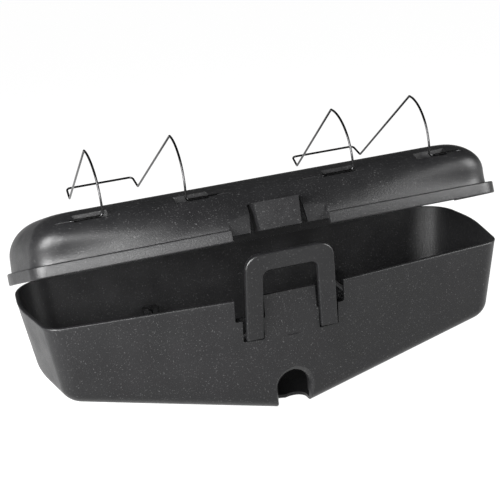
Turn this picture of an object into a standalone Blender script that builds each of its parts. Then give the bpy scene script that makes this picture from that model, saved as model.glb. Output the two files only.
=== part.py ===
"""Hanging rodent bait station: a keeled tub, a domed lid on two rear hinge pins, a snap loop and wire hangers.

Frame: +X along the station, +Y from the front to the hinge, +Z up. The origin is under the middle of the
whole station's box, at the keel. Shapes are drawn in the tub's own frame, where the rim's plane is z = 0
and the front's point is y = 0, and an empty called station carries them to the part's frame.
The lid is drawn shut. Its own empty sits on the hinge axis and holds it ajar.
"""
import math

import bmesh
import bpy
from mathutils import Matrix, Vector

MM = 0.001

# Driving dimensions.
RIM_HALF = 171.0 * MM          # half the rim's length, at the middle of the round ends
RIM_DEPTH = 132.0 * MM         # front point to back wall
VEE = 0.12                     # how fast the front wall falls back from its middle
STRAIGHT_Y = 11.3 * MM         # where the front would stand with the vee taken out
CORNER_X = 162.5 * MM          # where the front wall turns into the round end
END_MID_Y = 78.0 * MM          # how far back the station is longest
BACK_CORNER_X = 165.0 * MM
WALL = 2.2 * MM
GAP = 0.3 * MM

KEEL_DEPTH = 90.5 * MM         # rim to keel, in the middle
KEEL_RISE = 0.22               # how fast each half of the floor rises towards its end
DRAFT_FRONT, DRAFT_END, DRAFT_BACK = 0.13, 0.17, 0.10
FLOOR_ROUND = 9.0 * MM

LID_HEIGHT = 37.0 * MM
LID_OPEN = math.radians(18.7)
FLANGE_OUT, FLANGE_CLEAR = 2.9 * MM, 0.4 * MM
FLANGE_LOW, FLANGE_HIGH = -3.6 * MM, 4.6 * MM
FLANGE_BACK_Y = 104.0 * MM
FLANGE_GAP = 34.0 * MM         # half the flange's gap over the latch

HINGE_Y, HINGE_Z = 136.5 * MM, 0.5 * MM
KNUCKLE_R, PIN_R, PIN_BORE_R = 4.0 * MM, 1.0 * MM, 1.1 * MM
HINGE_X = 90.0 * MM            # middle of each hinge
KNUCKLE_END, KNUCKLE_STEP = 20.0 * MM, 7.8 * MM

LATCH_AXIS_Y, LATCH_AXIS_Z = 10.0 * MM, -27.0 * MM
LATCH_LEAN = math.radians(8.2)
LATCH_THICK, LATCH_FORWARD = 4.4 * MM, 4.0 * MM
LATCH_TOP, LATCH_WINDOW = 60.0 * MM, 47.7 * MM
HEEL_R, STUB_R, STUB_BORE_R = 2.4 * MM, 1.5 * MM, 1.6 * MM

SLOT_PAIR_X, SLOT_SHIFT = 87.0 * MM, 0.6 * MM
SLOT_SPREAD, SLOT_HALF = 34.4 * MM, 11.6 * MM
FOOT_Y, FOOT_Z = 20.0 * MM, 29.7 * MM
HANGER_LEFT_X, HANGER_RIGHT_X = -84.4 * MM, 92.2 * MM    # both wires have slid along in their slots
HANGER_LEFT_TILT, HANGER_RIGHT_TILT = math.radians(1.0), math.radians(-1.6)
WIRE_R, FOOT_BORE_R = 0.8 * MM, 0.95 * MM
FOOT_LENGTH = 22.0 * MM
LEG_FOOT, LEG_PEAK, LEG_LOW, LEG_BAR = 28.4 * MM, 29.6 * MM, 25.9 * MM, 25.0 * MM

ROD_X, ROD_Z, ROD_R = 70.0 * MM, -40.0 * MM, 1.5 * MM

ORIGIN_Y = -85.74 * MM          # the tub's frame under the part's frame
ORIGIN_Z = KEEL_DEPTH


def clear_scene():
    for item in list(bpy.data.objects):
        bpy.data.objects.remove(item, do_unlink=True)


def collection(name):
    made = bpy.data.collections.new(name)
    bpy.context.scene.collection.children.link(made)
    return made


def material(name, colour, roughness, metallic):
    made = bpy.data.materials.new(name)
    made.use_nodes = True
    shader = made.node_tree.nodes["Principled BSDF"]
    shader.inputs["Base Color"].default_value = (*colour, 1.0)
    shader.inputs["Roughness"].default_value = roughness
    shader.inputs["Metallic"].default_value = metallic
    return made


def empty(name, parent=None, location=(0, 0, 0), turn_x=0.0):
    made = bpy.data.objects.new(name, None)
    parts.objects.link(made)
    made.parent = parent
    made.location = location
    made.rotation_euler = (turn_x, 0, 0)
    return made


def from_bmesh(name, shape, home, parent, angle=35):
    """Turns a bmesh into a named object, with its faces pointing out."""
    bmesh.ops.recalc_face_normals(shape, faces=shape.faces)
    mesh = bpy.data.meshes.new(name)
    shape.to_mesh(mesh)
    shape.free()
    mesh.shade_smooth()
    mesh.set_sharp_from_angle(angle=math.radians(angle))
    made = bpy.data.objects.new(name, mesh)
    home.objects.link(made)
    made.parent = parent
    return made


def cutter(name, shape, parent):
    made = from_bmesh(name, shape, cutters, parent)
    made.hide_render = True
    made.display_type = "WIRE"
    return made


def boolean(target, other, operation="DIFFERENCE"):
    step = target.modifiers.new(other.name, "BOOLEAN")
    step.operation = operation
    step.object = other
    step.solver = "EXACT"


def add_box(shape, low, high):
    """Adds a box between two corners."""
    size = [b - a for a, b in zip(low, high)]
    middle = [(a + b) / 2 for a, b in zip(low, high)]
    place = Matrix.Translation(middle) @ Matrix.Diagonal((*size, 1.0))
    bmesh.ops.create_cube(shape, size=1.0, matrix=place)


def add_rod(shape, axis, centre, radius, start, stop, segments=24):
    """Adds a cylinder along X or Y; centre is where the axis crosses zero."""
    turn = Matrix.Rotation(math.pi / 2, 4, "Y" if axis == "X" else "X")
    middle = Vector(centre)
    middle["XY".index(axis)] = (start + stop) / 2
    bmesh.ops.create_cone(shape, cap_ends=True, segments=segments, radius1=radius, radius2=radius,
                          depth=abs(stop - start), matrix=Matrix.Translation(middle) @ turn)


def add_prism(shape, outline, direction):
    """Adds a flat outline of 3-D points pushed along a direction."""
    face = shape.faces.new([shape.verts.new(point) for point in outline])
    pushed = bmesh.ops.extrude_face_region(shape, geom=[face])
    moved = [item for item in pushed["geom"] if isinstance(item, bmesh.types.BMVert)]
    bmesh.ops.translate(shape, verts=moved, vec=direction)


def fillet(before, corner, after, radius, steps):
    """Points of the arc that rounds a corner, tangent to both of its sides."""
    back = (before - corner).normalized()
    ahead = (after - corner).normalized()
    half = back.angle(ahead) / 2
    reach = radius / math.tan(half)
    middle = corner + (back + ahead).normalized() * (radius / math.sin(half))
    first = corner + back * reach - middle
    last = corner + ahead * reach - middle
    sweep = first.angle(last)
    arc = []
    for step in range(steps + 1):
        share = step / steps
        spoke = first * math.sin((1 - share) * sweep) + last * math.sin(share * sweep)
        arc.append(middle + spoke / math.sin(sweep))
    return arc


def crossing(line_a, line_b):
    """Where two plan lines meet; each is a point and a direction."""
    (p, d), (q, e) = line_a, line_b
    across = d.x * e.y - d.y * e.x
    along = ((q.x - p.x) * e.y - (q.y - p.y) * e.x) / across
    return p + d * along


def plan(front, end, back, straight=0.0):
    """Half of the station's outline seen from above, x >= 0, from the front's middle to the back's.

    Each side is moved inwards by its own amount. straight, from 0 to 1, takes the vee out of the front.
    """
    vee = VEE * (1 - straight)
    start_y = STRAIGHT_Y * straight
    front_point = Vector((CORNER_X, VEE * CORNER_X))
    middle_point = Vector((RIM_HALF, END_MID_Y))
    back_point = Vector((BACK_CORNER_X, RIM_DEPTH))

    def moved(start, stop, inset):
        along = (stop - start).normalized()
        return start + Vector((-along.y, along.x)) * inset, along

    sides = [
        moved(Vector((0, start_y)), Vector((CORNER_X, start_y + vee * CORNER_X)), front),
        moved(front_point, middle_point, end),
        moved(middle_point, back_point, end),
        moved(back_point, Vector((0, RIM_DEPTH)), back),
    ]
    corners = [crossing(a, b) for a, b in zip(sides, sides[1:])]
    first = sides[0][0] + sides[0][1] * (-sides[0][0].x / sides[0][1].x)
    last = Vector((0, RIM_DEPTH - back))
    route = [first, *corners, last]
    radii = [max(14 * MM - 0.3 * front, 8 * MM), 120 * MM, max(30 * MM - 0.6 * end, 9 * MM)]
    points = [first]
    for place, (radius, steps) in enumerate(zip(radii, (4, 3, 6)), start=1):
        points += fillet(route[place - 1], route[place], route[place + 1], radius, steps)
    points.append(last)
    return points


def both_halves(half):
    """A whole ring from its half: the x >= 0 side back to front, then its mirror."""
    mirrored = [Vector((-p.x, *p[1:])) for p in half[-2:0:-1]]
    return half + mirrored


def loft(rings, split_caps=()):
    """A closed solid through rings of equal length.

    split_caps names the ends, 0 or -1, whose cap is two flat faces that meet on x = 0.
    """
    shape = bmesh.new()
    rows = [[shape.verts.new(p) for p in ring] for ring in rings]
    count = len(rows[0])
    for low, high in zip(rows, rows[1:]):
        for i in range(count):
            j = (i + 1) % count
            shape.faces.new((low[i], low[j], high[j], high[i]))
    bmesh.ops.triangulate(shape, faces=shape.faces[:])
    for end in (0, -1):
        ring = rows[end]
        if end in split_caps:
            half = count // 2
            shape.faces.new(ring[:half + 1])
            shape.faces.new(ring[half:] + [ring[0]])
        else:
            shape.faces.new(ring)
    return shape


def tub_solid(inset, top, floor_lift, rounding):
    """The tub's body without its hollow: walls leaning in towards a floor folded into a keel."""
    reach = 100 * MM
    rim = plan(inset, inset, inset)
    deep = plan(inset + DRAFT_FRONT * reach, inset + DRAFT_END * reach, inset + DRAFT_BACK * reach)
    keel = KEEL_DEPTH - floor_lift
    top_row, rows = [], [[] for _ in range(5)]
    for index, (a, b) in enumerate(zip(rim, deep)):
        lean = Vector((b.x - a.x, b.y - a.y, -reach)) / reach
        start = Vector((a.x, a.y, 0))
        top_row.append(start - lean * top)
        drop = (keel - KEEL_RISE * a.x) / (1 + KEEL_RISE * lean.x)
        edge = start + lean * drop
        before = rim[max(index - 1, 0)]
        after = rim[min(index + 1, len(rim) - 1)]
        along = after - before
        inward = Vector((-along.y, along.x)).normalized()
        if index in (0, len(rim) - 1):
            inward = Vector((0, 1 if index == 0 else -1))
        across = Vector((inward.x, inward.y, KEEL_RISE * inward.x)).normalized()
        down = lean.normalized()
        for step, row in enumerate(rows):
            angle = math.pi / 2 * step / (len(rows) - 1)
            row.append(edge - down * rounding * (1 - math.sin(angle))
                       + across * rounding * (1 - math.cos(angle)))
    return loft([both_halves(row) for row in (top_row, *rows)], split_caps=(-1,))


def arch(half_width, crown, bottom, y, steps=12):
    """A round-headed doorway outline in the XZ plane."""
    spring = crown - half_width
    head = [Vector((half_width * math.cos(math.pi * i / steps), y,
                    spring + half_width * math.sin(math.pi * i / steps))) for i in range(steps + 1)]
    return head + [Vector((-half_width, y, bottom)), Vector((half_width, y, bottom))]


def add_doorway(tub, hollow):
    """The mouse hole: a flared arch at the foot of the front wall that bites into the floor."""
    crown, outer_crown = -61 * MM, -53.5 * MM
    hole, flare = 11.5 * MM, 22.5 * MM
    sill = -100 * MM
    thick = cutter("doorway_boss", loft([arch(flare + 3 * MM, outer_crown + 3 * MM, sill, y)
                                         for y in (-5 * MM, 19.2 * MM)]), station)
    boolean(hollow, thick)
    mouth = cutter("doorway_flare", loft([arch(flare + 4.5 * MM, outer_crown + 3.4 * MM, sill, 4 * MM),
                                          arch(hole, crown, sill, 17 * MM)]), station)
    boolean(tub, mouth)
    passage = cutter("doorway_hole", loft([arch(hole, crown, sill, y) for y in (14 * MM, 26 * MM)]), station)
    boolean(tub, passage)
    bite_end = 25 * MM
    outline = [Vector((-12 * MM, -5 * MM, sill)), Vector((12 * MM, -5 * MM, sill))]
    outline += [Vector((12 * MM * math.cos(math.pi * i / 10), bite_end + 12 * MM * math.sin(math.pi * i / 10),
                        sill)) for i in range(11)]
    bite = bmesh.new()
    add_prism(bite, outline, (0, 0, 20 * MM))
    boolean(tub, cutter("floor_bite", bite, station))


def add_latch_bay(tub, hollow):
    """Two pockets for the loop's legs, a flat panel between them and open slots above."""
    boss = bmesh.new()
    add_box(boss, (-19.8 * MM, -10 * MM, -34 * MM), (19.8 * MM, 7.4 * MM, 1 * MM))
    boolean(hollow, cutter("latch_panel_back", boss, station))
    for name, side in (("left", -1), ("right", 1)):
        boss, pocket, slot, bore = (bmesh.new() for _ in range(4))

        def span(near, far):
            return sorted((side * near, side * far))

        (a, b) = span(17.6 * MM, 41.2 * MM)
        add_box(boss, (a, -10 * MM, -34 * MM), (b, 15 * MM, -15 * MM))
        boolean(hollow, cutter(f"latch_boss_{name}", boss, station))
        (a, b) = span(19.8 * MM, 34.2 * MM)
        add_box(pocket, (a, -10 * MM, -31.5 * MM), (b, 13 * MM, 5 * MM))
        boolean(tub, cutter(f"latch_pocket_{name}", pocket, station))
        (a, b) = span(18.4 * MM, 39 * MM)
        add_box(slot, (a, -10 * MM, -16 * MM), (b, 20 * MM, 6 * MM))
        boolean(tub, cutter(f"latch_slot_{name}", slot, station))
        (a, b) = span(33 * MM, 37.2 * MM)
        add_rod(bore, "X", (0, LATCH_AXIS_Y, LATCH_AXIS_Z), STUB_BORE_R, a, b)
        boolean(tub, cutter(f"latch_bore_{name}", bore, station))
    panel = bmesh.new()
    add_box(panel, (-20 * MM, -10 * MM, -31.5 * MM), (20 * MM, 5 * MM, 6 * MM))
    boolean(tub, cutter("latch_panel_front", panel, station))


def add_rod_cradles(tub, hollow):
    """Open saddles on the front and back walls that hold the two bait rods."""
    for name, x in (("left", -ROD_X), ("right", ROD_X)):
        saddles = bmesh.new()
        add_box(saddles, (x - 5 * MM, 0, -48 * MM), (x + 5 * MM, 22 * MM, -35 * MM))
        add_box(saddles, (x - 5 * MM, 119 * MM, -48 * MM), (x + 5 * MM, RIM_DEPTH, -35 * MM))
        boolean(hollow, cutter(f"rod_saddles_{name}", saddles, station))
        notch = bmesh.new()
        add_box(notch, (x - 1.8 * MM, 16.4 * MM, ROD_Z - ROD_R - 0.3 * MM), (x + 1.8 * MM, 125.4 * MM, 0))
        boolean(tub, cutter(f"rod_notch_{name}", notch, station))


def add_knuckles(target, parent, label, pieces, web_low, web_high):
    """Hinge knuckles with a web to the wall, then the pins' bores through them."""
    for name, middle in (("left", -HINGE_X), ("right", HINGE_X)):
        for number, (start, stop) in enumerate(pieces):
            barrel, web = bmesh.new(), bmesh.new()
            a, b = middle + start, middle + stop
            add_rod(barrel, "X", (0, HINGE_Y, HINGE_Z), KNUCKLE_R, a, b, 20)
            add_box(web, (a, RIM_DEPTH - 1.6 * MM, web_low), (b, HINGE_Y, web_high))
            boolean(target, cutter(f"{label}_web_{name}_{number}", web, parent), "UNION")
            boolean(target, cutter(f"{label}_barrel_{name}_{number}", barrel, parent), "UNION")
        bore = bmesh.new()
        add_rod(bore, "X", (0, HINGE_Y, HINGE_Z), PIN_BORE_R, middle - 30 * MM, middle + 30 * MM)
        boolean(target, cutter(f"{label}_bore_{name}", bore, parent))


def make_tub():
    tub = from_bmesh("tub", tub_solid(0, 0, 0, FLOOR_ROUND), parts, station)
    hollow = cutter("tub_hollow", tub_solid(WALL, 5 * MM, WALL * 1.05, FLOOR_ROUND - WALL), station)
    boolean(tub, hollow)
    add_rod_cradles(tub, hollow)
    add_latch_bay(tub, hollow)
    add_doorway(tub, hollow)
    outer = [(-KNUCKLE_END, -KNUCKLE_STEP - GAP), (KNUCKLE_STEP + GAP, KNUCKLE_END)]
    add_knuckles(tub, station, "tub", outer, -7 * MM, -0.4 * MM)
    tub.data.materials.append(black_plastic("tub_plastic"))
    return tub


def dome_solid(shell, base, height):
    """The lid's body: a short upright wall, then a quarter-ellipse shoulder up to a flat crown.

    shell moves the whole skin inwards, for the hollow.
    """
    shoulder_z, straight_z = 13 * MM, 26 * MM
    rows = [(base, 0.0), (FLANGE_HIGH, 0.2 * MM), (shoulder_z, 0.8 * MM)]
    rings = []
    for z, lean in rows:
        share = min(max((z - FLANGE_HIGH) / (straight_z - FLANGE_HIGH), 0), 1)
        outline = plan(shell + lean, shell + lean, shell + lean, share)
        rings.append([Vector((p.x, p.y, z)) for p in outline])
    steps = 6
    for step in range(1, steps + 1):
        angle = math.pi / 2 * step / steps
        z = shoulder_z + (height - shoulder_z) * math.sin(angle)
        turned = 1 - math.cos(angle)
        share = min((z - FLANGE_HIGH) / (straight_z - FLANGE_HIGH), 1)
        outline = plan(shell + 0.8 * MM + 26 * MM * turned, shell + 0.8 * MM + 27 * MM * turned,
                       shell + 0.8 * MM + 26 * MM * turned, share)
        rings.append([Vector((p.x, p.y, z)) for p in outline])
    return loft([both_halves(ring) for ring in rings])


def slab(offset, low, high):
    """A flat slab with the rim's outline, grown outwards by offset."""
    half = plan(-offset, -offset, -offset)
    return loft([both_halves([Vector((p.x, p.y, z)) for p in half]) for z in (low, high)])


def slot_centres():
    """The four hanger slots: two to each hanger."""
    for side in (-1, 1):
        for foot in (-1, 1):
            yield side, foot, side * SLOT_PAIR_X + SLOT_SHIFT + foot * SLOT_SPREAD


def add_hanger_slots(lid, hollow):
    """A notch in the shoulder for each foot, with a bore for its tip beyond the notch's outer end."""
    for side, foot, x in slot_centres():
        label = f"{'left' if side < 0 else 'right'}_{'left' if foot < 0 else 'right'}"
        boss, notch, bore = (bmesh.new() for _ in range(3))
        bore_end = x + foot * (SLOT_HALF + 16 * MM)
        low, high = sorted((x - foot * (SLOT_HALF + 2.5 * MM), bore_end + foot * 2 * MM))
        add_box(boss, (low, 9 * MM, 26 * MM), (high, 26.6 * MM, 36 * MM))
        boolean(hollow, cutter(f"slot_boss_{label}", boss, lid_hinge))
        add_box(notch, (x - SLOT_HALF, 5 * MM, FOOT_Z - 1.3 * MM), (x + SLOT_HALF, 24.2 * MM, 45 * MM))
        boolean(lid, cutter(f"slot_notch_{label}", notch, lid_hinge))
        start, stop = sorted((x, bore_end))
        add_rod(bore, "X", (0, FOOT_Y, FOOT_Z), FOOT_BORE_R, start, stop)
        boolean(lid, cutter(f"slot_bore_{label}", bore, lid_hinge))


def add_catch(lid, hollow):
    """The lid's catch: a flat recess in the front, a tongue that stands proud and a slot on each side."""
    recess_y, tongue_y, tongue_top = 5.8 * MM, 2.0 * MM, 19.3 * MM
    low = GAP + 0.2 * MM
    back = bmesh.new()
    add_box(back, (-36 * MM, -10 * MM, -10 * MM), (36 * MM, recess_y + WALL, 24 * MM))
    boolean(hollow, cutter("catch_back", back, lid_hinge))
    recess = bmesh.new()
    add_box(recess, (-FLANGE_GAP, -10 * MM, -10 * MM), (FLANGE_GAP, recess_y, 26 * MM))
    boolean(lid, cutter("catch_recess", recess, lid_hinge))
    tongue = bmesh.new()
    add_box(tongue, (-17 * MM, tongue_y, low), (17 * MM, 15 * MM, tongue_top))
    boolean(lid, cutter("catch_tongue", tongue, lid_hinge), "UNION")
    for name, side in (("left", -1), ("right", 1)):
        slot = bmesh.new()
        corners = [(14.3, -1.0), (20.4, -1.0), (18.1, 19.3), (15.9, 19.3)]
        outline = [Vector((side * x * MM, -10 * MM, z * MM)) for x, z in corners]
        add_prism(slot, outline, (0, 32 * MM, 0))
        boolean(lid, cutter(f"catch_slot_{name}", slot, lid_hinge))


def add_back_lip(lid):
    """A rib behind the lid's back wall that hangs inside the tub and covers the gap when the lid is open."""
    half_length, outer_y, thick, drop, root_top = 128 * MM, 129.0 * MM, 1.7 * MM, 3.5 * MM, 3.5 * MM
    rib, root = bmesh.new(), bmesh.new()
    add_box(rib, (-half_length, outer_y - thick, -drop), (half_length, outer_y, root_top))
    add_box(root, (-half_length, outer_y - thick, 2 * GAP), (half_length, RIM_DEPTH - WALL + 0.7 * MM, root_top))
    boolean(lid, cutter("back_lip_root", root, lid_hinge), "UNION")
    boolean(lid, cutter("back_lip", rib, lid_hinge), "UNION")


def make_lid():
    lid = from_bmesh("lid", dome_solid(0, GAP + 0.1 * MM, LID_HEIGHT), parts, lid_hinge)
    flange = cutter("flange_slab", slab(FLANGE_OUT, FLANGE_LOW, FLANGE_HIGH), lid_hinge)
    trim = bmesh.new()
    add_box(trim, (-0.3, FLANGE_BACK_Y, -0.05), (0.3, 0.3, 0.05))
    boolean(flange, cutter("flange_back", trim, lid_hinge))
    boolean(lid, flange, "UNION")
    hollow = cutter("lid_hollow", dome_solid(WALL, -12 * MM, LID_HEIGHT - WALL), lid_hinge)
    boolean(lid, hollow)
    boolean(lid, cutter("flange_clearance", slab(FLANGE_CLEAR, -15 * MM, GAP), lid_hinge))
    add_back_lip(lid)
    add_catch(lid, hollow)
    add_hanger_slots(lid, hollow)
    inner = [(-KNUCKLE_STEP, KNUCKLE_STEP)]
    add_knuckles(lid, lid_hinge, "lid", inner, 0.7 * MM, 6 * MM)
    lid.data.materials.append(black_plastic("lid_plastic"))
    return lid


def make_latch():
    """The snap loop: a flat U on its head, with heels and stubs that turn in the tub's pockets."""
    outer = [Vector((32.6, 0, -2.4)), Vector((31.0, 0, LATCH_TOP / MM)),
             Vector((-31.0, 0, LATCH_TOP / MM)), Vector((-32.6, 0, -2.4))]
    inner = [Vector((-20.6, 0, -2.4)), Vector((-19.0, 0, LATCH_WINDOW / MM)),
             Vector((19.0, 0, LATCH_WINDOW / MM)), Vector((20.6, 0, -2.4))]
    outline = [outer[0], *fillet(*outer[:3], 9.5, 6), *fillet(*outer[1:], 9.5, 6), outer[3]]
    outline += [inner[0], *fillet(*inner[:3], 4.5, 4), *fillet(*inner[1:], 4.5, 4), inner[3]]
    front = -LATCH_FORWARD - LATCH_THICK / 2
    shape = bmesh.new()
    add_prism(shape, [Vector((p.x * MM, front, p.z * MM)) for p in outline], (0, LATCH_THICK, 0))
    loop = from_bmesh("latch_loop", shape, parts, latch_hinge)
    for name, side in (("left", -1), ("right", 1)):
        near, far = sorted((side * 20.6 * MM, side * 32.6 * MM))
        heel, round_heel, stub = (bmesh.new() for _ in range(3))
        add_box(heel, (near, front + 1 * MM, -HEEL_R), (far, 0, HEEL_R))
        boolean(loop, cutter(f"heel_{name}", heel, latch_hinge), "UNION")
        add_rod(round_heel, "X", (0, 0, 0), HEEL_R, near, far)
        boolean(loop, cutter(f"round_heel_{name}", round_heel, latch_hinge), "UNION")
        near, far = sorted((side * 30 * MM, side * 36.6 * MM))
        add_rod(stub, "X", (0, 0, 0), STUB_R, near, far)
        boolean(loop, cutter(f"stub_{name}", stub, latch_hinge), "UNION")
    loop.data.materials.append(black_plastic("latch_plastic"))
    return loop


def arc_through(a, b, c, steps):
    """Points of the circle's arc from a to c by way of b, in the YZ plane."""
    ab, ac = b - a, c - a
    across = 2 * (ab.x * ac.y - ab.y * ac.x)
    centre = a + Vector((ac.y * ab.length_squared - ab.y * ac.length_squared,
                         ab.x * ac.length_squared - ac.x * ab.length_squared)) / across
    start = math.atan2(*(a - centre).yx)
    sweep = (math.atan2(*(c - centre).yx) - start + math.pi) % (2 * math.pi) - math.pi
    radius = (a - centre).length
    return [centre + Vector((math.cos(start + sweep * i / steps), math.sin(start + sweep * i / steps))) * radius
            for i in range(steps + 1)]


def hanger_route():
    """The wire's middle line about its feet's axis: foot, bowed leg, peak, straight leg, dip and crossbar."""
    peak, low, bar = Vector((16.5, 45.1)) * MM, Vector((128, 19.3)) * MM, Vector((138, 27.3)) * MM
    bow = arc_through(Vector((0, 0)), Vector((-3.7, 22)) * MM, peak, 14)
    leg = []
    for number, point in enumerate(bow):
        share = number / (len(bow) - 1)
        leg.append(Vector((LEG_FOOT + (LEG_PEAK - LEG_FOOT) * share, *point)))
    tip = Vector((LEG_FOOT + FOOT_LENGTH, 0, 0))
    dip = Vector((LEG_LOW, *low))
    knee = Vector((LEG_BAR, *bar))
    centre = Vector((0, *bar))
    half = [tip, *fillet(tip, leg[0], leg[2], 2.4 * MM, 5), *leg[2:-2],
            *fillet(leg[-3], leg[-1], dip, 2.6 * MM, 6), *fillet(leg[-1], dip, knee, 2.2 * MM, 5),
            *fillet(dip, knee, centre, 3.0 * MM, 5)]
    return half + [Vector((-p.x, p.y, p.z)) for p in reversed(half)]


def make_hanger(name, x, tilt):
    """One spring wire bail; its feet point outwards, into the lid's slots."""
    pivot = empty(f"{name}_pivot", lid_hinge, (x, FOOT_Y - HINGE_Y, FOOT_Z - HINGE_Z), tilt)
    line = bpy.data.curves.new(name, "CURVE")
    line.dimensions = "3D"
    line.bevel_depth = WIRE_R
    line.bevel_resolution = 2
    line.use_fill_caps = True
    route = hanger_route()
    spline = line.splines.new("POLY")
    spline.points.add(len(route) - 1)
    for point, place in zip(spline.points, route):
        point.co = (*place, 1.0)
    made = bpy.data.objects.new(name, line)
    parts.objects.link(made)
    made.parent = pivot
    line.materials.append(spring_steel(f"{name}_wire"))


def make_hinge_pin(name, side):
    shape = bmesh.new()
    add_rod(shape, "X", (0, HINGE_Y, HINGE_Z), PIN_R, side * HINGE_X - 19 * MM, side * HINGE_X + 19 * MM)
    pin = from_bmesh(name, shape, parts, station)
    pin.data.materials.append(spring_steel(f"{name}_steel"))


def make_bait_rod(name, side):
    shape = bmesh.new()
    add_rod(shape, "Y", (side * ROD_X, 0, ROD_Z), ROD_R, 16.8 * MM, 125 * MM, 16)
    rod = from_bmesh(name, shape, parts, station)
    rod.data.materials.append(spring_steel(f"{name}_steel"))


def black_plastic(name):
    return material(name, (0.045, 0.045, 0.047), 0.45, 0.0)


def spring_steel(name):
    return material(name, (0.30, 0.30, 0.31), 0.28, 1.0)


def into_hinge_frame(item):
    """Moves a shape drawn in the tub's frame so that its parent's origin is its own origin."""
    item.matrix_parent_inverse = Matrix.Translation((0, -HINGE_Y, -HINGE_Z))


clear_scene()
parts = collection("bait_station")
cutters = collection("cutters")
station = empty("station", None, (0, ORIGIN_Y, ORIGIN_Z))
lid_hinge = empty("lid_hinge", station, (0, HINGE_Y, HINGE_Z), -LID_OPEN)
latch_hinge = empty("latch_hinge", station, (0, LATCH_AXIS_Y, LATCH_AXIS_Z), LATCH_LEAN)

make_tub()
make_lid()
make_latch()
make_hanger("hanger_left", HANGER_LEFT_X, HANGER_LEFT_TILT)
make_hanger("hanger_right", HANGER_RIGHT_X, HANGER_RIGHT_TILT)
for label, direction in (("left", -1), ("right", 1)):
    make_hinge_pin(f"hinge_pin_{label}", direction)
    make_bait_rod(f"bait_rod_{label}", direction)
for child in lid_hinge.children:
    if child.type == "MESH":
        into_hinge_frame(child)
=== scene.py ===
"""Looks of the hanging bait station: smooth moulded shells, spring wires, plastic grain, studio and camera.

Shapes are drawn in the tub's own frame, in metres: the rim's plane is z = 0, the front's point is y = 0 and
x = 0 is the middle. TO_ROW carries them to the row frame, and OPEN_LID holds the lid's pieces ajar.
"""
import math

import bmesh
import bpy
import numpy as np
from mathutils import Matrix, Vector


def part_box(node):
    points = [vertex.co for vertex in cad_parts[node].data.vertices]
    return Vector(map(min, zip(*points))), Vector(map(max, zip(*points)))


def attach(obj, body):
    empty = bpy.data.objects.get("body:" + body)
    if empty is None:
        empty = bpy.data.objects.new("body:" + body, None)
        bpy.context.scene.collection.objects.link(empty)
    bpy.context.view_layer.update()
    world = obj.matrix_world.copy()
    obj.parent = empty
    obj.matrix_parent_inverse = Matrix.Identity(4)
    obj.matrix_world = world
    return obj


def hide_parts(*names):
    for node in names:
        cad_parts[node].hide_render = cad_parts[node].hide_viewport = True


MM = 0.001

# Sizes shared with the solids.
RIM_HALF, RIM_DEPTH = 171 * MM, 132 * MM
VEE, STRAIGHT_Y, CORNER_X = 0.12, 11.3 * MM, 162.5 * MM
END_MID_Y, BACK_CORNER_X = 78 * MM, 165 * MM
WALL = 2.2 * MM
KEEL_DEPTH, KEEL_RISE = 90.5 * MM, 0.22
DRAFT_FRONT, DRAFT_END, DRAFT_BACK = 0.13, 0.17, 0.10
FLOOR_ROUND = 9 * MM
LID_HEIGHT, LID_OPEN = 37 * MM, math.radians(18.7)
SHOULDER_Z, STRAIGHT_Z = 13 * MM, 26 * MM
FLANGE_OUT, FLANGE_CLEAR = 2.9 * MM, 0.4 * MM
FLANGE_LOW, FLANGE_HIGH, FLANGE_BACK_Y, FLANGE_GAP = -3.6 * MM, 4.6 * MM, 104 * MM, 34 * MM
HINGE_Y, HINGE_Z, KNUCKLE_R, PIN_R = 136.5 * MM, 0.5 * MM, 4 * MM, 1 * MM
HINGE_X, KNUCKLE_END, KNUCKLE_STEP = 90 * MM, 20 * MM, 7.8 * MM
LATCH_Y, LATCH_Z, LATCH_LEAN = 10 * MM, -27 * MM, math.radians(8.2)
LATCH_THICK, LATCH_FORWARD, LATCH_TOP, LATCH_WINDOW = 4.4 * MM, 4 * MM, 60 * MM, 47.7 * MM
HEEL_R, STUB_R = 2.4 * MM, 1.5 * MM
SLOT_PAIR_X, SLOT_SHIFT, SLOT_SPREAD, SLOT_HALF = 87 * MM, 0.6 * MM, 34.4 * MM, 11.6 * MM
FOOT_Y, FOOT_Z, FOOT_LENGTH = 20 * MM, 29.7 * MM, 22 * MM
WIRE_R = 0.8 * MM
LEG_FOOT, LEG_PEAK, LEG_LOW, LEG_BAR = 28.4 * MM, 29.6 * MM, 25.9 * MM, 25 * MM
HANGERS = {"hanger_left": (-84.4 * MM, math.radians(1.0)), "hanger_right": (92.2 * MM, math.radians(-1.6))}
ROD_X, ROD_Z, ROD_R = 70 * MM, -40 * MM, 1.5 * MM

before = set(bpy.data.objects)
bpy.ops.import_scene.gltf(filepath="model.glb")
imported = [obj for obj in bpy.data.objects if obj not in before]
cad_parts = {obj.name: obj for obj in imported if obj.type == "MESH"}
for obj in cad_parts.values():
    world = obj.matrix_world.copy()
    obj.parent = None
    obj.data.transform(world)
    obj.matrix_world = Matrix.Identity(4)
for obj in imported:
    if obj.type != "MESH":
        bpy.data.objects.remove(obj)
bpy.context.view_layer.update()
tub_low, tub_high = (Vector(corner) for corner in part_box("tub"))
TO_ROW = Matrix.Translation((0, tub_high.y - KNUCKLE_R - HINGE_Y, tub_low.z + KEEL_DEPTH))
TO_HINGE = Matrix.Translation((0, HINGE_Y, HINGE_Z))
OPEN_LID = TO_ROW @ TO_HINGE @ Matrix.Rotation(-LID_OPEN, 4, "X") @ TO_HINGE.inverted()
LEAN_LATCH = TO_ROW @ Matrix.Translation((0, LATCH_Y, LATCH_Z)) @ Matrix.Rotation(LATCH_LEAN, 4, "X")


# Surfaces

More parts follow.
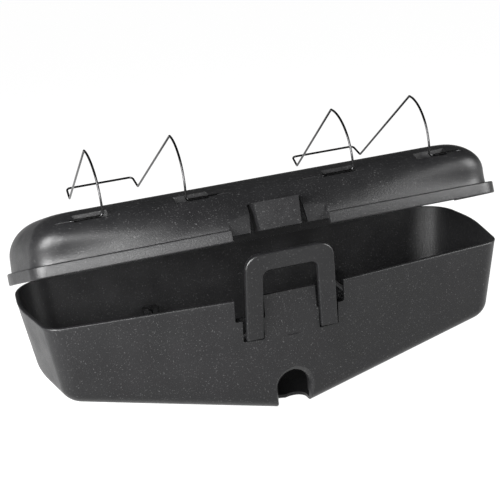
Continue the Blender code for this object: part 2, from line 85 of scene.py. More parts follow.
def make_object(name, points, faces, place):
    """A mesh object at the origin, with its place in its points."""
    turn = np.array(place.to_3x3())
    spots = np.asarray(points, float).reshape(-1, 3) @ turn.T + np.array(place.translation)
    mesh = bpy.data.meshes.new(name)
    mesh.vertices.add(len(spots))
    mesh.vertices.foreach_set("co", spots.ravel())
    mesh.loops.add(faces.size)
    mesh.loops.foreach_set("vertex_index", faces.ravel())
    mesh.polygons.add(len(faces))
    mesh.polygons.foreach_set("loop_start", np.arange(len(faces)) * faces.shape[1])
    mesh.update(calc_edges=True)
    made = bpy.data.objects.new(name, mesh)
    bpy.context.scene.collection.objects.link(made)
    return made


def close_skin(made, reach=0.01 * MM):
    """Merges doubled points and turns every face outwards."""
    shape = bmesh.new()
    shape.from_mesh(made.data)
    bmesh.ops.remove_doubles(shape, verts=shape.verts, dist=reach)
    bmesh.ops.dissolve_degenerate(shape, edges=shape.edges, dist=reach)
    bmesh.ops.triangulate(shape, faces=shape.faces[:])
    bmesh.ops.recalc_face_normals(shape, faces=shape.faces)
    shape.to_mesh(made.data)
    shape.free()
    made.data.shade_smooth()
    return made


def skin(name, rings, place):
    """A closed solid: a grid of rings x places around, whose end rings are shrunk onto a line or a point."""
    rings = np.asarray(rings, float)
    rows, around = rings.shape[:2]
    row = np.arange(rows - 1)[:, None]
    column = np.arange(around)[None, :]
    after = (column + 1) % around
    corners = (row * around + column, row * around + after,
               (row + 1) * around + after, (row + 1) * around + column)
    faces = np.stack(np.broadcast_arrays(*corners), -1).reshape(-1, 4)
    return close_skin(make_object(name, rings, faces, place))


def fan_ends(rings):
    """Rings with a middle point added before and after them, so that each end is a fan."""
    ends = [np.broadcast_to(np.mean(ring, axis=0), np.shape(ring)) for ring in (rings[0], rings[-1])]
    return [ends[0], *rings, ends[1]]


def block(name, low, high, place):
    """A box between two corners."""
    spots = np.stack(np.meshgrid(*zip(low, high), indexing="ij"), -1).reshape(-1, 3)
    faces = np.array([[0, 1, 3, 2], [4, 6, 7, 5], [0, 4, 5, 1], [2, 3, 7, 6], [0, 2, 6, 4], [1, 5, 7, 3]])
    return close_skin(make_object(name, spots, faces, place))


def prism(name, outline, push, place):
    """A flat closed outline pushed along a direction; each end is a fan about the outline's middle."""
    outline = np.asarray(outline, float)
    return skin(name, fan_ends([outline, outline + np.asarray(push, float)]), place)


def rod(name, axis, centre, radius, start, stop, place, over=0.0, around_count=40):
    """A cylinder along X or Y; each end is rounded over by a quarter circle of radius over."""
    turn = np.linspace(0, math.pi / 2, 6)
    step_in, size_end = over * (1 - np.sin(turn)), radius - over * (1 - np.cos(turn))
    along = np.concatenate([[start], start + step_in[::-1], stop - step_in, [stop]])
    size = np.concatenate([[0], size_end[::-1], size_end, [0]])
    angle = np.linspace(0, 2 * math.pi, around_count, endpoint=False)
    circle = np.stack([np.cos(angle), np.sin(angle)], -1)
    rings = np.zeros((len(along), around_count, 3)) + np.asarray(centre, float)
    k = "XY".index(axis)
    rings[:, :, k] = along[:, None]
    rings[:, :, [i for i in range(3) if i != k]] += size[:, None, None] * circle
    return skin(name, rings, place)


def carve(made, *steps):
    """Joins or cuts: each step is an operation and the object it uses, which is then removed."""
    for operation, other in steps:
        step = made.modifiers.new(other.name, "BOOLEAN")
        step.operation = operation
        step.object = other
        step.solver = "EXACT"
    depsgraph = bpy.context.evaluated_depsgraph_get()
    carved = bpy.data.meshes.new_from_object(made.evaluated_get(depsgraph), depsgraph=depsgraph)
    made.modifiers.clear()
    made.data = carved
    for _, other in steps:
        bpy.data.objects.remove(other, do_unlink=True)
    return made


def finish_edges(made, width, angle=40):
    """Rounds the edges that cuts have left, as a mould does, with an even shading over the rounds."""
    made.data.shade_smooth()
    made.data.set_sharp_from_angle(angle=math.radians(angle))
    bevel = made.modifiers.new("edge_round", "BEVEL")
    bevel.width = width
    bevel.segments = 2
    bevel.limit_method = "ANGLE"
    bevel.angle_limit = math.radians(angle)
    bevel.use_clamp_overlap = True
    bevel.harden_normals = True
    return made


# The station's outline seen from above

def corner_arc(before, corner, after, radius, count):
    """The arc that rounds a corner, tangent to both sides: a spoke turned evenly from one side to the other."""
    back = (before - corner) / np.linalg.norm(before - corner)
    ahead = (after - corner) / np.linalg.norm(after - corner)
    half = math.acos(np.clip(back @ ahead, -1, 1)) / 2
    spine = (back + ahead) / np.linalg.norm(back + ahead)
    middle = corner + spine * radius / math.sin(half)
    first = corner + back * radius / math.tan(half) - middle
    last = corner + ahead * radius / math.tan(half) - middle
    sweep = math.pi - 2 * half
    share = np.linspace(0, 1, count)[:, None]
    return middle + (first * np.sin((1 - share) * sweep) + last * np.sin(share * sweep)) / math.sin(sweep)


def meet(p, d, q, e):
    """Where the line through p along d meets the line through q along e."""
    return p + d * ((q[0] - p[0]) * e[1] - (q[1] - p[1]) * e[0]) / (d[0] * e[1] - d[1] * e[0])


def plan(front, end, back, straight=0.0, corner=14 * MM):
    """Half of the outline, x >= 0, from the front's middle to the back's, as evenly counted stretches.

    Each side is moved inwards by its own amount: the vee front, the two lines of the bowed end, the back.
    straight, from 0 to 1, takes the vee out of the front. corner is the front corner's radius.
    """
    vee, start_y = VEE * (1 - straight), STRAIGHT_Y * straight
    route = np.array([[0, start_y], [CORNER_X, start_y + vee * CORNER_X], [CORNER_X, VEE * CORNER_X],
                      [RIM_HALF, END_MID_Y], [RIM_HALF, END_MID_Y], [BACK_CORNER_X, RIM_DEPTH],
                      [BACK_CORNER_X, RIM_DEPTH], [0, RIM_DEPTH]])
    lines = []
    for (start, stop), inset in zip(route.reshape(4, 2, 2), (front, end, end, back)):
        along = (stop - start) / np.linalg.norm(stop - start)
        lines.append((start + np.array([-along[1], along[0]]) * inset, along))
    corners = [meet(*a, *b) for a, b in zip(lines, lines[1:])]
    first = lines[0][0] - lines[0][1] * lines[0][0][0] / lines[0][1][0]
    path = [first, *corners, np.array([0, RIM_DEPTH - back])]
    radii = (max(corner - 0.3 * front, 8 * MM), 120 * MM, max(30 * MM - 0.6 * end, 9 * MM))
    arcs = [corner_arc(*path[i:i + 3], radius, count) for i, (radius, count) in
            enumerate(zip(radii, (12, 16, 18)))]
    points = np.vstack(arcs)
    ahead = np.linspace(0, 1, 44, endpoint=False)[:, None]
    lead = path[0] * (1 - ahead) + points[0] * ahead
    tail = points[-1] + (path[-1] - points[-1]) * np.linspace(0, 1, 41)[1:, None]
    return np.vstack([lead, points, tail])


def around(half, z):
    """A whole ring from half an outline: the x >= 0 side front to back, then its mirror."""
    ring = np.column_stack([half, np.broadcast_to(z, len(half))])
    return np.vstack([ring, ring[-2:0:-1] * (-1, 1, 1)])


# The tub

def tub_form(name, inset, top, lip, floor_lift, rounding):
    """Walls that lean in from the rim to a floor folded along x = 0 into a keel.

    Each wall line leans by its side's draft. It stops where it meets the folded floor and turns into the
    floor by a quarter circle. The rim's outer edge turns inwards by a quarter circle of radius lip.
    """
    reach = 100 * MM
    rim = plan(inset, inset, inset)
    deep = plan(inset + DRAFT_FRONT * reach, inset + DRAFT_END * reach, inset + DRAFT_BACK * reach)
    lean = np.column_stack([(deep - rim) / reach, -np.ones(len(rim))])
    start = np.column_stack([rim, np.zeros(len(rim))])
    drop = (KEEL_DEPTH - floor_lift - KEEL_RISE * rim[:, 0]) / (1 + KEEL_RISE * lean[:, 0])
    along = np.gradient(rim, axis=0)
    inward = np.column_stack([-along[:, 1], along[:, 0]])
    inward[[0, -1]] = (0, 1), (0, -1)
    inward /= np.linalg.norm(inward, axis=1)[:, None]
    level = np.column_stack([inward, np.zeros(len(rim))])
    across = np.column_stack([inward, KEEL_RISE * inward[:, 0]])
    across /= np.linalg.norm(across, axis=1)[:, None]
    down = lean / np.linalg.norm(lean, axis=1)[:, None]
    edge = start + lean * drop[:, None]

    def whole(half):
        return np.vstack([half, half[-2:0:-1] * (-1, 1, 1)])

    upright = np.array([0, 0, lip])
    rim_turn = [start - lean * top + level * lip * (1 - math.cos(t)) - upright * (1 - math.sin(t))
                for t in np.linspace(math.pi / 2, 0, 7)]
    wall = [start + lean * ((drop - rounding) * share)[:, None] for share in np.linspace(0.06, 0.94, 12)]
    floor_turn = [edge - down * rounding * (1 - math.sin(t)) + across * rounding * (1 - math.cos(t))
                  for t in np.linspace(0, math.pi / 2, 10)]
    foot = floor_turn[-1]
    spine_y = np.clip(foot[:, 1], foot[0, 1] + 12 * MM, foot[-1, 1] - 12 * MM)
    spine = np.column_stack([np.zeros(len(rim)), spine_y, np.full(len(rim), floor_lift - KEEL_DEPTH)])
    spine[0], spine[-1] = foot[0], foot[-1]
    floor = [foot + (spine - foot) * share for share in np.linspace(0, 1, 14)[1:]]
    rings = [whole(half) for half in [*rim_turn, *wall, *floor_turn, *floor]]
    return skin(name, [fan_ends(rings)[0], *rings], TO_ROW)


def arch_outline(half_width, crown, y, sill=-100 * MM):
    """A round-headed doorway in the XZ plane: a half circle on two posts."""
    angle = np.linspace(0, math.pi, 33)
    head = np.column_stack([half_width * np.cos(angle), np.full(33, y),
                            crown - half_width + half_width * np.sin(angle)])
    return np.vstack([head, [(-half_width, y, sill), (half_width, y, sill)]])


def doorway_cutter():
    """The flare: its arch shrinks along a cosine from the wall's face to the hole, then runs straight."""
    share = np.linspace(0, 1, 12)
    depth = np.concatenate([[1 * MM], 4.5 * MM + 11.5 * MM * share, [26 * MM]])
    ease = np.concatenate([[0], np.sin(share * math.pi / 2), [1]])
    half = 24.5 * MM + (11.5 - 24.5) * MM * ease
    crown = -52.5 * MM + (-61 + 52.5) * MM * ease
    rings = [arch_outline(h, c, y) for h, c, y in zip(half, crown, depth)]
    return skin("doorway", fan_ends(rings), TO_ROW)


def bite_cutter():
    """The notch in the floor behind the doorway: two straight sides and a half circle."""
    angle = np.linspace(0, math.pi, 25)
    half = 12.07 * MM
    outline = np.vstack([[(-half, -5 * MM), (half, -5 * MM)],
                         np.column_stack([half * np.cos(angle), 25 * MM + half * np.sin(angle)])])
    below = np.full(len(outline), -105 * MM)
    return prism("bite", np.column_stack([outline, below]), (0, 0, 25 * MM), TO_ROW)


def rounded_box(name, low, high, radius, place, axis=1):
    """A box whose four long edges are quarter circles; axis is the direction they run in."""
    flat = [i for i in range(3) if i != axis]
    turn = np.linspace(0, math.pi / 2, 8)
    outline = []
    for quarter, (a, b) in enumerate(((1, 1), (0, 1), (0, 0), (1, 0))):
        middle = [(low, high)[side][i] - (1, -1)[1 - side] * radius for side, i in zip((a, b), flat)]
        angle = turn + quarter * math.pi / 2
        outline.append(np.array(middle) + radius * np.column_stack([np.cos(angle), np.sin(angle)]))
    outline = np.vstack(outline)
    spots = np.zeros((len(outline), 3))
    spots[:, flat] = outline
    spots[:, axis] = low[axis]
    push = np.zeros(3)
    push[axis] = high[axis] - low[axis]
    return prism(name, spots, push, place)


def knuckles(label, spans, web_low, web_high, place):
    """Barrels with a web to the wall, for both hinges, to be joined on, then the pins' bores to be cut."""
    steps = []
    for name, middle in (("left", -HINGE_X), ("right", HINGE_X)):
        for number, (start, stop) in enumerate(spans):
            a, b = middle + start, middle + stop
            web = block(f"{label}_web_{name}_{number}", (a + 0.3 * MM, RIM_DEPTH - 1.63 * MM, web_low),
                        (b - 0.3 * MM, HINGE_Y - 0.13 * MM, web_high), place)
            barrel = rod(f"{label}_barrel_{name}_{number}", "X", (0, HINGE_Y, HINGE_Z), KNUCKLE_R, a, b,
                         place, over=0.5 * MM)
            steps += [("UNION", web), ("UNION", barrel)]
        bore = rod(f"{label}_bore_{name}", "X", (0, HINGE_Y, HINGE_Z), PIN_R + 0.12 * MM,
                   middle - 30 * MM, middle + 30 * MM, place)
        steps.append(("DIFFERENCE", bore))
    return steps


def make_tub():
    """The tub: walls less their hollow, with the doorway, the latch pockets, saddles and knuckles."""
    tub = tub_form("tub_shell", 0, 0, 1.0 * MM, 0, FLOOR_ROUND)
    hollow = tub_form("tub_hollow", WALL, 5 * MM, 0, WALL * 1.05, FLOOR_ROUND - WALL)
    bosses = [
        block("panel_back", (-19.8 * MM, -10 * MM, -34 * MM), (19.8 * MM, 7.4 * MM, 1 * MM), TO_ROW),
        skin("doorway_boss", boss_rings(), TO_ROW),
    ]
    cuts = [doorway_cutter(), bite_cutter()]
    for side in (-1, 1):
        name = "left" if side < 0 else "right"
        near, far = sorted((side * 17.6 * MM, side * 41.2 * MM))
        bosses.append(block(f"pocket_back_{name}", (near, -10 * MM, -34 * MM),
                            (far, 15 * MM, -15 * MM), TO_ROW))
        near, far = sorted((side * 19.8 * MM, side * 34.2 * MM))
        cuts.append(rounded_box(f"pocket_{name}", (near, -10 * MM, -31.5 * MM),
                                (far, 13 * MM, 6 * MM), 0.8 * MM, TO_ROW))
        near, far = sorted((side * 18.4 * MM, side * 39 * MM))
        cuts.append(rounded_box(f"slot_{name}", (near, -10 * MM, -16 * MM),
                                (far, 20 * MM, 12 * MM), 1.4 * MM, TO_ROW))
        near, far = sorted((side * 33 * MM, side * 37.2 * MM))
        cuts.append(rod(f"stub_bore_{name}", "X", (0, LATCH_Y, LATCH_Z), STUB_R + 0.1 * MM, near, far,
                        TO_ROW))
        x = side * ROD_X
        bosses.append(block(f"saddle_front_{name}", (x - 5 * MM, 0, -48 * MM),
                            (x + 5 * MM, 22 * MM, -35 * MM), TO_ROW))
        bosses.append(block(f"saddle_back_{name}", (x - 5 * MM, 119 * MM, -48 * MM),
                            (x + 5 * MM, RIM_DEPTH, -35 * MM), TO_ROW))
        cuts.append(block(f"notch_{name}", (x - 1.8 * MM, 16.4 * MM, ROD_Z - ROD_R - 0.3 * MM),
                          (x + 1.8 * MM, 125.4 * MM, 0), TO_ROW))
    cuts.append(block("panel_front", (-20 * MM, -10 * MM, -31.5 * MM), (20 * MM, 5 * MM, 6 * MM), TO_ROW))
    carve(hollow, *[("DIFFERENCE", boss) for boss in bosses])
    spans = ((-KNUCKLE_END, -KNUCKLE_STEP - 0.3 * MM), (KNUCKLE_STEP + 0.3 * MM, KNUCKLE_END))
    carve(tub, ("DIFFERENCE", hollow), *[("DIFFERENCE", cut) for cut in cuts],
          *knuckles("tub", spans, -7 * MM, -0.4 * MM, TO_ROW))
    finish_edges(tub, 0.35 * MM)
    return tub


def boss_rings():
    """The thickening behind the doorway's flare: an arch pushed back from the wall, its edge rounded over."""
    turn = np.linspace(0, math.pi / 2, 6)
    depths = np.concatenate([[-5 * MM], 16.2 * MM + 3 * MM * np.sin(turn)])
    grow = np.concatenate([[0], -3 * MM * (1 - np.cos(turn))])
    rings = [arch_outline(26 * MM + g, -50 * MM + g, y) for g, y in zip(grow, depths)]
    return fan_ends(rings)


# The lid

def dome_form(name, shell, base, height):
    """A short upright wall, then a quarter-ellipse shoulder up to a flat crown.

    The vee leaves the front steadily between the flange's top and STRAIGHT_Z. shell moves the skin inwards.
    """
    wall_z = np.concatenate([[base], np.linspace(max(base, 0) + 1 * MM, SHOULDER_Z, 9)])
    angle = np.linspace(0, math.pi / 2, 22)[1:]
    z = np.concatenate([wall_z, SHOULDER_Z + (height - SHOULDER_Z) * np.sin(angle)])
    turned = np.concatenate([np.zeros(len(wall_z)), 1 - np.cos(angle)])
    share = np.clip((z - FLANGE_HIGH) / (STRAIGHT_Z - FLANGE_HIGH), 0, 1)
    share = share * share * (3 - 2 * share)
    lean = 0.8 * MM * np.clip(z / SHOULDER_Z, 0, 1)
    rings = []
    for a, t, s, level in zip(lean, turned, share, z):
        inset = shell + a + 26 * MM * t
        rings.append(around(plan(inset, inset + 1 * MM * t, inset, s, 22 * MM), level))
    return skin(name, fan_ends(rings), OPEN_LID)


def slab_form(name, offset, low, high, over=0.0):
    """A flat slab with the rim's outline, grown outwards by offset, its upper and lower edges rounded over."""
    turn = np.linspace(0, math.pi / 2, 6)
    levels = [(low + over * (1 - math.sin(t)), offset - over * (1 - math.cos(t))) for t in turn[::-1]]
    levels += [(high - over * (1 - math.sin(t)), offset - over * (1 - math.cos(t))) for t in turn]
    rings = [around(plan(-out, -out, -out), z) for z, out in levels]
    return skin(name, fan_ends(rings), OPEN_LID)


def make_lid():
    """The lid: a domed shell with a proud flange, the catch's tongue between two slots, and hanger slots.

    A lip behind the back wall hangs inside the tub and covers the gap there while the lid is open.
    """
    lid = dome_form("lid_shell", 0, 0.4 * MM, LID_HEIGHT)
    flange = slab_form("flange", FLANGE_OUT, FLANGE_LOW, FLANGE_HIGH, 0.9 * MM)
    trim = block("flange_trim", (-0.3, FLANGE_BACK_Y, -0.05), (0.3, 0.3, 0.05), OPEN_LID)
    gap = block("flange_gap", (-FLANGE_GAP, -0.05, -0.05), (FLANGE_GAP, 0.06, 0.05), OPEN_LID)
    carve(flange, ("DIFFERENCE", trim), ("DIFFERENCE", gap))
    hollow = dome_form("lid_hollow", WALL, -12 * MM, LID_HEIGHT - WALL)
    back = block("catch_back", (-36 * MM, -10 * MM, -10 * MM), (36 * MM, 8 * MM, 24 * MM), OPEN_LID)
    bosses, cuts = [back], []
    for side in (-1, 1):
        for foot in (-1, 1):
            x = side * SLOT_PAIR_X + SLOT_SHIFT + foot * SLOT_SPREAD
            label = f"{side}_{foot}"
            bore_end = x + foot * (SLOT_HALF + 16 * MM)
            low, high = sorted((x - foot * (SLOT_HALF + 2.5 * MM), bore_end + foot * 2 * MM))
            bosses.append(block("boss" + label, (low, 9 * MM, 26 * MM), (high, 26.6 * MM, 36 * MM),
                                OPEN_LID))
            cuts.append(rounded_box("notch" + label, (x - SLOT_HALF, 5 * MM, FOOT_Z - 1.3 * MM),
                                    (x + SLOT_HALF, 24.2 * MM, 45 * MM), 0.6 * MM, OPEN_LID, axis=0))
            start, stop = sorted((x, bore_end))
            cuts.append(rod("bore" + label, "X", (0, FOOT_Y, FOOT_Z), WIRE_R + 0.15 * MM, start, stop,
                            OPEN_LID))
    recess = block("recess", (-34.5 * MM, -10 * MM, -10 * MM), (34.5 * MM, 5.8 * MM, 26 * MM), OPEN_LID)
    tongue_low, tongue_top = 0.5 * MM, 19.3 * MM
    tongue = block("tongue", (-17 * MM, 2 * MM, tongue_low), (17 * MM, 15 * MM, tongue_top), OPEN_LID)
    slots = []
    for side in (-1, 1):
        corners = np.array([(14.3, -10, -1), (20.4, -10, -1), (18.1, -10, 19.1), (15.9, -10, 19.1)]) * MM
        slots.append(prism(f"catch_slot{side}", corners * (side, 1, 1), (0, 32 * MM, 0), OPEN_LID))
    carve(hollow, *[("DIFFERENCE", boss) for boss in bosses])
    clear = slab_form("flange_clearance", FLANGE_CLEAR, -15 * MM, 0.3 * MM)
    lip_end, lip_back, lip_reach = 128 * MM, 129 * MM, 3.5 * MM
    lip_front = lip_back - 1.7 * MM
    root = block("lip_root", (-lip_end, lip_front, 0.6 * MM),
                 (lip_end, RIM_DEPTH - WALL + 0.7 * MM, lip_reach), OPEN_LID)
    lip = block("lip", (-lip_end, lip_front, -lip_reach), (lip_end, lip_back, lip_reach), OPEN_LID)
    carve(lid, ("UNION", flange), ("DIFFERENCE", hollow), ("DIFFERENCE", clear), ("UNION", root),
          ("UNION", lip), ("DIFFERENCE", recess), ("UNION", tongue),
          *[("DIFFERENCE", cut) for cut in (*slots, *cuts)],
          *knuckles("lid", ((-KNUCKLE_STEP, KNUCKLE_STEP),), 0.7 * MM, 6 * MM, OPEN_LID))
    finish_edges(lid, 0.35 * MM)
    return lid


# The latch loop

def make_loop():
    """The snap loop: a rounded U of slightly tapering legs, with heels and stubs at its feet.

    Its edges are rounded by a quarter circle carried round the whole outline.
    """
    foot_end = -1.9 * MM

    def corner_line(half_low, half_top, top, radius):
        spots = np.array([(half_low, foot_end), (half_top, top), (-half_top, top), (-half_low, foot_end)])
        first = corner_arc(spots[0], spots[1], spots[2], radius, 17)
        second = corner_arc(spots[1], spots[2], spots[3], radius, 17)
        steps = np.linspace(0, 1, 20, endpoint=False)[:, None]
        legs = [spots[0] + (first[0] - spots[0]) * steps, first,
                first[-1] + (second[0] - first[-1]) * steps[1:], second,
                second[-1] + (spots[3] - second[-1]) * np.linspace(0, 1, 21)[1:, None]]
        return np.vstack(legs)

    outer = corner_line(32.6 * MM, 31.0 * MM, LATCH_TOP, 10.5 * MM)
    inner = corner_line(20.6 * MM, 19.0 * MM, LATCH_WINDOW, 5 * MM)
    middle, across = (outer + inner) / 2, (outer - inner) / 2
    width = np.linalg.norm(across, axis=1)[:, None]
    across = across / width
    front, edge = -LATCH_FORWARD - LATCH_THICK / 2, 1.3 * MM
    turn = np.linspace(0, math.pi / 2, 7)
    profile = []
    for sx, sy in ((1, -1), (-1, -1), (-1, 1), (1, 1)):
        arc = turn[::-1] if sx * sy < 0 else turn
        profile += [(sx, edge * (1 - math.sin(t)), sy, edge * (1 - math.cos(t))) for t in arc]
    columns = []
    for sx, pull_x, sy, pull_y in profile:
        flat = middle + across * (width - pull_x) * sx
        depth = front + LATCH_THICK / 2 + sy * (LATCH_THICK / 2 - pull_y)
        columns.append(np.column_stack([flat[:, 0], np.full(len(flat), depth), flat[:, 1]]))
    rings = np.stack(columns, 1)
    loop = skin("latch_loop_form", fan_ends(rings), LEAN_LATCH)
    steps = []
    for side in (-1, 1):
        near, far = sorted((side * 20.8 * MM, side * 32.4 * MM))
        heel = block(f"heel{side}", (near, front + 1.6 * MM, 0.1 * MM - HEEL_R),
                     (far, 0.2 * MM, HEEL_R - 0.1 * MM), LEAN_LATCH)
        round_heel = rod(f"round_heel{side}", "X", (0, 0, 0), HEEL_R, near, far, LEAN_LATCH, 0.4 * MM)
        steps += [("UNION", heel), ("UNION", round_heel)]
        near, far = sorted((side * 30 * MM, side * 36.6 * MM))
        stub = rod(f"stub{side}", "X", (0, 0, 0), STUB_R, near, far, LEAN_LATCH, 0.3 * MM)
        steps.append(("UNION", stub))
    carve(loop, *steps)
    finish_edges(loop, 0.3 * MM, 50)
    return loop


# The wires

def hanger_path():
    """The wire's middle line about its feet's axis.

    A foot runs along X, the leg bows forward on a circle through three points, turns over at the peak, runs
    straight back down, dips at the low corner and rises to the crossbar. The other half is its mirror.
    """
    peak, low, bar = (np.array(spot) * MM for spot in ((16.5, 45.1), (128, 19.3), (138, 27.3)))
    start, through = np.zeros(2), np.array([-3.7, 22]) * MM
    a, b = through - start, peak - start
    middle = start + np.array([b[1] * (a @ a) - a[1] * (b @ b), a[0] * (b @ b) - b[0] * (a @ a)]) / (
        2 * (a[0] * b[1] - a[1] * b[0]))
    radius = np.linalg.norm(middle)
    first = math.atan2(*(start - middle)[::-1])
    last = math.atan2(*(peak - middle)[::-1])
    sweep = (last - first + math.pi) % (2 * math.pi) - math.pi
    share = np.linspace(0, 1, 60)
    angle = first + sweep * share
    bow = np.column_stack([LEG_FOOT + (LEG_PEAK - LEG_FOOT) * share, middle[0] + radius * np.cos(angle),
                           middle[1] + radius * np.sin(angle)])
    tip = np.array([LEG_FOOT + FOOT_LENGTH, 0, 0])
    dip = np.array([LEG_LOW, *low])
    knee = np.array([LEG_BAR, *bar])
    centre = np.array([0, *bar])
    half = [np.linspace(tip, bow[0] + (3 * MM, 0, 0), 8), corner_arc(tip, bow[0], bow[6], 2.4 * MM, 10),
            bow[6:-5], corner_arc(bow[-6], bow[-1], dip, 2.6 * MM, 14),
            np.linspace(bow[-1], dip, 40)[3:-2], corner_arc(bow[-1], dip, knee, 2.2 * MM, 12),
            corner_arc(dip, knee, centre, 3 * MM, 12), np.linspace(knee, centre, 14)[3:]]
    half = np.vstack(half)
    return np.vstack([half, half[-2::-1] * (-1, 1, 1)])


def tube(name, path, radius, place, around_count=20):
    """A round wire: a circle carried along a path without twist, its ends rounded over."""
    steps = np.linalg.norm(np.diff(path, axis=0), axis=1)
    path = path[np.concatenate([[True], steps > 0.05 * MM])]
    tangent = np.gradient(path, axis=0)
    tangent /= np.linalg.norm(tangent, axis=1)[:, None]
    side = np.empty_like(path)
    side[0] = np.cross(tangent[0], (0, 0, 1))
    for i in range(1, len(path)):
        side[i] = side[i - 1] - tangent[i] * (side[i - 1] @ tangent[i])
        side[i] /= np.linalg.norm(side[i])
    other = np.cross(tangent, side)
    over = np.linspace(0, math.pi / 2, 5)
    head = [(path[0] - tangent[0] * radius * 0.6 * math.cos(t), math.sin(t), side[0], other[0]) for t in over]
    tail = [(path[-1] + tangent[-1] * radius * 0.6 * math.cos(t), math.sin(t), side[-1], other[-1])
            for t in over[::-1]]
    body = [(spot, 1.0, a, b) for spot, a, b in zip(path[1:-1], side[1:-1], other[1:-1])]
    angle = np.linspace(0, 2 * math.pi, around_count, endpoint=False)[:, None]
    rings = [spot + radius * size * (np.cos(angle) * a + np.sin(angle) * b)
             for spot, size, a, b in head + body + tail]
    return skin(name, rings, place)


def make_hanger(name):
    x, tilt = HANGERS[name]
    place = OPEN_LID @ Matrix.Translation((x, FOOT_Y, FOOT_Z)) @ Matrix.Rotation(tilt, 4, "X")
    return tube(f"{name}_form", hanger_path(), WIRE_R, place)


# Finishes

def new_material(name):
    made = bpy.data.materials.new(name)
    made.use_nodes = True
    return made, made.node_tree, made.node_tree.nodes["Principled BSDF"]


def noise(tree, coordinates, scale, detail, roughness=0.5):
    node = tree.nodes.new("ShaderNodeTexNoise")
    node.inputs["Scale"].default_value = scale
    node.inputs["Detail"].default_value = detail
    node.inputs["Roughness"].default_value = roughness
    tree.links.new(coordinates, node.inputs["Vector"])
    return node.outputs["Fac"]


def span(tree, source, low, high, new_low, new_high):
    """Carries a value from one range to another, held within it."""
    node = tree.nodes.new("ShaderNodeMapRange")
    for key, value in zip(("From Min", "From Max", "To Min", "To Max"), (low, high, new_low, new_high)):
        node.inputs[key].default_value = value
    tree.links.new(source, node.inputs["Value"])
    return node.outputs["Result"]


def mix_colours(tree, share, first, second):
    node = tree.nodes.new("ShaderNodeMix")
    node.data_type = "RGBA"
    tree.links.new(share, node.inputs["Factor"])
    for socket, colour in zip((node.inputs[6], node.inputs[7]), (first, second)):
        if isinstance(colour, tuple):
            socket.default_value = (*colour, 1)
        else:
            tree.links.new(colour, socket)
    return node.outputs[2]


def moulded_plastic(name, dark, pale, grain, roughness):
    """Black moulded plastic: cloudy tone, pale specks, spark-eroded grain and slight wear of the gloss."""
    made, tree, shader = new_material(name)
    place = tree.nodes.new("ShaderNodeTexCoord").outputs["Object"]
    cloud = noise(tree, place, 28, 4)
    speck = span(tree, noise(tree, place, 1050, 2, 0.6), 0.62, 0.74, 0, 1)
    fine = noise(tree, place, 2100, 3, 0.6)
    body = mix_colours(tree, span(tree, cloud, 0.3, 0.7, 0, 1), dark, tuple(c * 1.35 for c in dark))
    tree.links.new(mix_colours(tree, speck, body, pale), shader.inputs["Base Color"])
    gloss = span(tree, noise(tree, place, 60, 5, 0.6), 0.3, 0.7, roughness - 0.05, roughness + 0.06)
    tree.links.new(gloss, shader.inputs["Roughness"])
    coarse = tree.nodes.new("ShaderNodeBump")
    coarse.inputs["Strength"].default_value = grain
    coarse.inputs["Distance"].default_value = 0.12 * MM
    tree.links.new(noise(tree, place, 900, 3, 0.55), coarse.inputs["Height"])
    small = tree.nodes.new("ShaderNodeBump")
    small.inputs["Strength"].default_value = grain * 0.7
    small.inputs["Distance"].default_value = 0.05 * MM
    tree.links.new(fine, small.inputs["Height"])
    tree.links.new(coarse.outputs["Normal"], small.inputs["Normal"])
    tree.links.new(small.outputs["Normal"], shader.inputs["Normal"])
    shader.inputs["Specular IOR Level"].default_value = 0.2
    return made


def spring_steel(name, tone, roughness):
    """Drawn spring wire: dark bright steel with fine streaks and a slightly uneven gloss."""
    made, tree, shader = new_material(name)
    place = tree.nodes.new("ShaderNodeTexCoord").outputs["Object"]
    shade = span(tree, noise(tree, place, 420, 4), 0.3, 0.7, 0, 1)
    tree.links.new(mix_colours(tree, shade, (tone * 0.75,) * 3, (tone, tone, tone * 1.03)),
                   shader.inputs["Base Color"])
    tree.links.new(span(tree, noise(tree, place, 900, 3), 0.3, 0.7, roughness - 0.05, roughness + 0.08),
                   shader.inputs["Roughness"])
    shader.inputs["Metallic"].default_value = 1.0
    return made


def finish(made, material, body, slot, *nodes):
    made.data.materials.clear()
    made.data.materials.append(material)
    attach(made, body)
    if nodes:
        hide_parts(*nodes)


# Studio

def white_floor():
    """A wide floor under the keel, lit mostly from within so that it stays white."""
    size = 6.0
    floor = block("floor", (-size, -size, -6 * MM), (size, size, -1 * MM), Matrix.Identity(4))
    made, tree, shader = new_material("studio_floor")
    shader.inputs["Base Color"].default_value = (0.12, 0.12, 0.12, 1)
    shader.inputs["Roughness"].default_value = 0.9
    shader.inputs["Specular IOR Level"].default_value = 0.0
    shader.inputs["Emission Color"].default_value = (1, 1, 1, 1)
    shader.inputs["Emission Strength"].default_value = 0.98
    floor.data.materials.append(made)


def towards(azimuth, elevation):
    """The direction at an azimuth from the front and an elevation, both in degrees."""
    turn, rise = math.radians(azimuth), math.radians(elevation)
    return Vector((math.sin(turn) * math.cos(rise), -math.cos(turn) * math.cos(rise), math.sin(rise)))


def softbox(name, direction, distance, size, power, aim):
    """An area light at a direction (azimuth, elevation) from a point, turned to face it."""
    back = towards(*direction)
    light = bpy.data.lights.new(name, "AREA")
    light.shape = "RECTANGLE"
    light.size, light.size_y = size
    light.energy = power
    made = bpy.data.objects.new(name, light)
    made.location = Vector(aim) + back * distance
    made.rotation_euler = back.to_track_quat("Z", "Y").to_euler()
    bpy.context.scene.collection.objects.link(made)


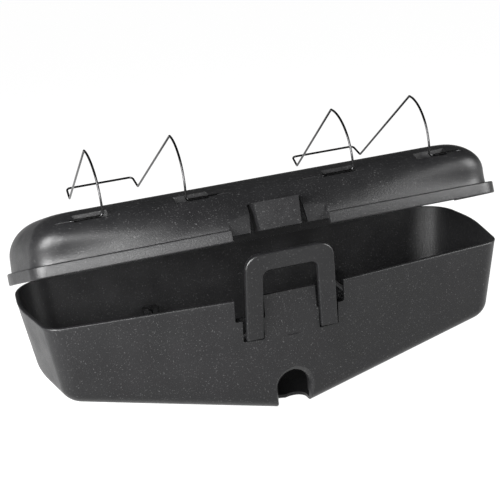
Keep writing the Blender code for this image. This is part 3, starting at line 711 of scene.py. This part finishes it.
def set_studio():
    world = bpy.data.worlds.new("studio")
    world.use_nodes = True
    world.node_tree.nodes["Background"].inputs["Color"].default_value = (1, 1, 1, 1)
    world.node_tree.nodes["Background"].inputs["Strength"].default_value = 0.1
    bpy.context.scene.world = world
    bpy.context.scene.view_settings.view_transform = "Standard"
    white_floor()
    aim = (0, 0, 80 * MM)
    softbox("key_left", (-60, 22), 0.8, (0.4, 0.5), 36, aim)
    softbox("right", (60, 18), 0.6, (0.3, 0.3), 7, aim)
    softbox("front", (-24, 20), 0.62, (0.26, 0.2), 7.5, aim)


def set_camera():
    """A long lens from the front left, a little above, tipped over by a few degrees."""
    roll, distance, lens = math.radians(5.75), 1050.15 * MM, 115.51
    target = TO_ROW @ Vector((-25.82 * MM, 0, 34.81 * MM))
    back = towards(-16.55, 17.97)
    right = Vector((0, 0, 1)).cross(back).normalized()
    up = back.cross(right)
    across = right * math.cos(roll) - up * math.sin(roll)
    over = right * math.sin(roll) + up * math.cos(roll)
    camera = bpy.data.objects.new("camera", bpy.data.cameras.new("camera"))
    camera.data.lens = lens
    camera.data.sensor_width = 36
    camera.matrix_world = Matrix.Translation(target + back * distance) @ Matrix(
        (across, over, back)).transposed().to_4x4()
    bpy.context.scene.collection.objects.link(camera)
    bpy.context.scene.camera = camera


shell_plastic = moulded_plastic("shell_plastic", (0.0028, 0.0028, 0.003), (0.030, 0.030, 0.030), 0.8, 0.40)
loop_plastic = moulded_plastic("loop_plastic", (0.0028, 0.0028, 0.003), (0.024, 0.024, 0.024), 0.6, 0.36)
bright_wire = spring_steel("bright_wire", 0.022, 0.22)
dull_steel = spring_steel("dull_steel", 0.35, 0.32)

finish(make_tub(), shell_plastic, "base", "tub", "tub")
finish(make_lid(), shell_plastic, "lid_body", "lid", "lid")
finish(make_loop(), loop_plastic, "latch", "latch_loop", "latch_loop")
for wire, holder in (("hanger_left", "wire_left"), ("hanger_right", "wire_right")):
    finish(make_hanger(wire), bright_wire, holder, wire, wire)
for end, side in (("left", -1), ("right", 1)):
    pin = rod(f"hinge_pin_{end}_form", "X", (0, HINGE_Y, HINGE_Z), PIN_R, side * HINGE_X - 19 * MM,
              side * HINGE_X + 19 * MM, TO_ROW, 0.3 * MM)
    finish(pin, dull_steel, "base", f"hinge_pin_{end}", f"hinge_pin_{end}")
    bait_rod = rod(f"bait_rod_{end}_form", "Y", (side * ROD_X, 0, ROD_Z), ROD_R, 16.8 * MM, 125 * MM,
                   TO_ROW, 0.5 * MM)
    finish(bait_rod, dull_steel, "base", f"bait_rod_{end}", f"bait_rod_{end}")

set_studio()
set_camera()
